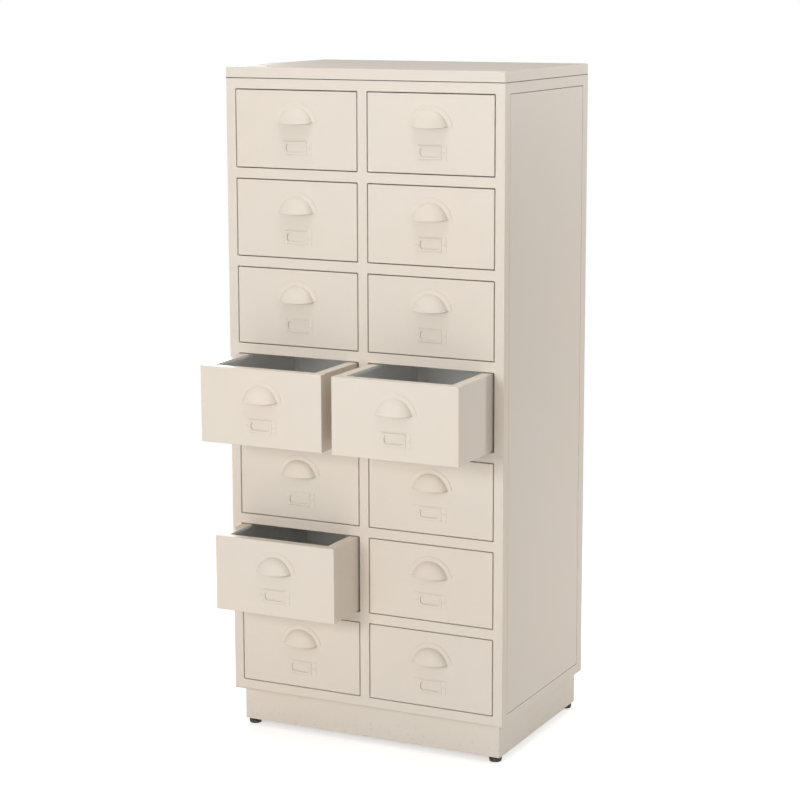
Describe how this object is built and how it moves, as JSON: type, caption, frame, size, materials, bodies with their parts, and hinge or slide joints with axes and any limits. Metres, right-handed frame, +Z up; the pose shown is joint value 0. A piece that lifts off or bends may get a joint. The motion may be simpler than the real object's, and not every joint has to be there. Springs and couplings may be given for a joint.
{
  "type": "metal drawer cabinet",
  "caption": "Tall sheet metal cabinet with two columns of drawers, cup pulls, label holders, a recessed plinth and levelling feet.",
  "frame": {"origin": "middle of the base of the bounding box at rest, three drawers standing open", "axes": "+Z up from the floor, drawers open towards -Y, +X to the right seen from the front"},
  "size_m": [0.65, 0.6414, 1.463],
  "materials": {
    "cream_paint": "satin powder coat, warm cream, fine orange peel",
    "foot_plastic": "matt dark grey moulded plastic"
  },
  "bodies": {
    "case": {"top_cap": "cream_paint", "left_side_panel": "cream_paint", "right_side_panel": "cream_paint", "back_panel": "cream_paint", "left_front_post": "cream_paint", "right_front_post": "cream_paint", "centre_front_stile": "cream_paint", "front_rails": "cream_paint", "rear_posts": "cream_paint", "body_rails": "cream_paint", "centre_partition": "cream_paint", "drawer_runners": "cream_paint", "bottom_panel": "cream_paint", "plinth": "cream_paint"},
    "drawer_left_1": {"drawer_left_1_body": "cream_paint", "drawer_left_1_pull": "cream_paint", "drawer_left_1_label_holder": "cream_paint"},
    "drawer_right_1": {"drawer_right_1_body": "cream_paint", "drawer_right_1_pull": "cream_paint", "drawer_right_1_label_holder": "cream_paint"},
    "drawer_left_2": {"drawer_left_2_body": "cream_paint", "drawer_left_2_pull": "cream_paint", "drawer_left_2_label_holder": "cream_paint"},
    "drawer_right_2": {"drawer_right_2_body": "cream_paint", "drawer_right_2_pull": "cream_paint", "drawer_right_2_label_holder": "cream_paint"},
    "drawer_left_3": {"drawer_left_3_body": "cream_paint", "drawer_left_3_pull": "cream_paint", "drawer_left_3_label_holder": "cream_paint"},
    "drawer_right_3": {"drawer_right_3_body": "cream_paint", "drawer_right_3_pull": "cream_paint", "drawer_right_3_label_holder": "cream_paint"},
    "drawer_left_4": {"drawer_left_4_body": "cream_paint", "drawer_left_4_pull": "cream_paint", "drawer_left_4_label_holder": "cream_paint"},
    "drawer_right_4": {"drawer_right_4_body": "cream_paint", "drawer_right_4_pull": "cream_paint", "drawer_right_4_label_holder": "cream_paint"},
    "drawer_left_5": {"drawer_left_5_body": "cream_paint", "drawer_left_5_pull": "cream_paint", "drawer_left_5_label_holder": "cream_paint"},
    "drawer_right_5": {"drawer_right_5_body": "cream_paint", "drawer_right_5_pull": "cream_paint", "drawer_right_5_label_holder": "cream_paint"},
    "drawer_left_6": {"drawer_left_6_body": "cream_paint", "drawer_left_6_pull": "cream_paint", "drawer_left_6_label_holder": "cream_paint"},
    "drawer_right_6": {"drawer_right_6_body": "cream_paint", "drawer_right_6_pull": "cream_paint", "drawer_right_6_label_holder": "cream_paint"},
    "drawer_left_7": {"drawer_left_7_body": "cream_paint", "drawer_left_7_pull": "cream_paint", "drawer_left_7_label_holder": "cream_paint"},
    "drawer_right_7": {"drawer_right_7_body": "cream_paint", "drawer_right_7_pull": "cream_paint", "drawer_right_7_label_holder": "cream_paint"},
    "left_front_foot": {"left_front_foot": "foot_plastic"},
    "left_rear_foot": {"left_rear_foot": "foot_plastic"},
    "right_front_foot": {"right_front_foot": "foot_plastic"},
    "right_rear_foot": {"right_rear_foot": "foot_plastic"}
  },
  "joints": [
    {"name": "drawer_left_1_slide", "type": "slide", "parent": "case", "child": "drawer_left_1", "axis": [0, -1, 0], "range_m": [0, 0.33]},
    {"name": "drawer_right_1_slide", "type": "slide", "parent": "case", "child": "drawer_right_1", "axis": [0, -1, 0], "range_m": [0, 0.33]},
    {"name": "drawer_left_2_slide", "type": "slide", "parent": "case", "child": "drawer_left_2", "axis": [0, -1, 0], "range_m": [0, 0.33]},
    {"name": "drawer_right_2_slide", "type": "slide", "parent": "case", "child": "drawer_right_2", "axis": [0, -1, 0], "range_m": [0, 0.33]},
    {"name": "drawer_left_3_slide", "type": "slide", "parent": "case", "child": "drawer_left_3", "axis": [0, -1, 0], "range_m": [0, 0.33]},
    {"name": "drawer_right_3_slide", "type": "slide", "parent": "case", "child": "drawer_right_3", "axis": [0, -1, 0], "range_m": [0, 0.33]},
    {"name": "drawer_left_4_slide", "type": "slide", "parent": "case", "child": "drawer_left_4", "axis": [0, -1, 0], "range_m": [-0.165, 0.165]},
    {"name": "drawer_right_4_slide", "type": "slide", "parent": "case", "child": "drawer_right_4", "axis": [0, -1, 0], "range_m": [-0.17, 0.16]},
    {"name": "drawer_left_5_slide", "type": "slide", "parent": "case", "child": "drawer_left_5", "axis": [0, -1, 0], "range_m": [0, 0.33]},
    {"name": "drawer_right_5_slide", "type": "slide", "parent": "case", "child": "drawer_right_5", "axis": [0, -1, 0], "range_m": [0, 0.33]},
    {"name": "drawer_left_6_slide", "type": "slide", "parent": "case", "child": "drawer_left_6", "axis": [0, -1, 0], "range_m": [-0.115, 0.215]},
    {"name": "drawer_right_6_slide", "type": "slide", "parent": "case", "child": "drawer_right_6", "axis": [0, -1, 0], "range_m": [0, 0.33]},
    {"name": "drawer_left_7_slide", "type": "slide", "parent": "case", "child": "drawer_left_7", "axis": [0, -1, 0], "range_m": [0, 0.33]},
    {"name": "drawer_right_7_slide", "type": "slide", "parent": "case", "child": "drawer_right_7", "axis": [0, -1, 0], "range_m": [0, 0.33]},
    {"name": "left_front_foot_screw", "type": "slide", "parent": "case", "child": "left_front_foot", "axis": [0, 0, -1], "range_m": [-0.0035, 0.015]},
    {"name": "left_rear_foot_screw", "type": "slide", "parent": "case", "child": "left_rear_foot", "axis": [0, 0, -1], "range_m": [-0.0035, 0.015]},
    {"name": "right_front_foot_screw", "type": "slide", "parent": "case", "child": "right_front_foot", "axis": [0, 0, -1], "range_m": [-0.0035, 0.015]},
    {"name": "right_rear_foot_screw", "type": "slide", "parent": "case", "child": "right_rear_foot", "axis": [0, 0, -1], "range_m": [-0.0035, 0.015]}
  ]
}
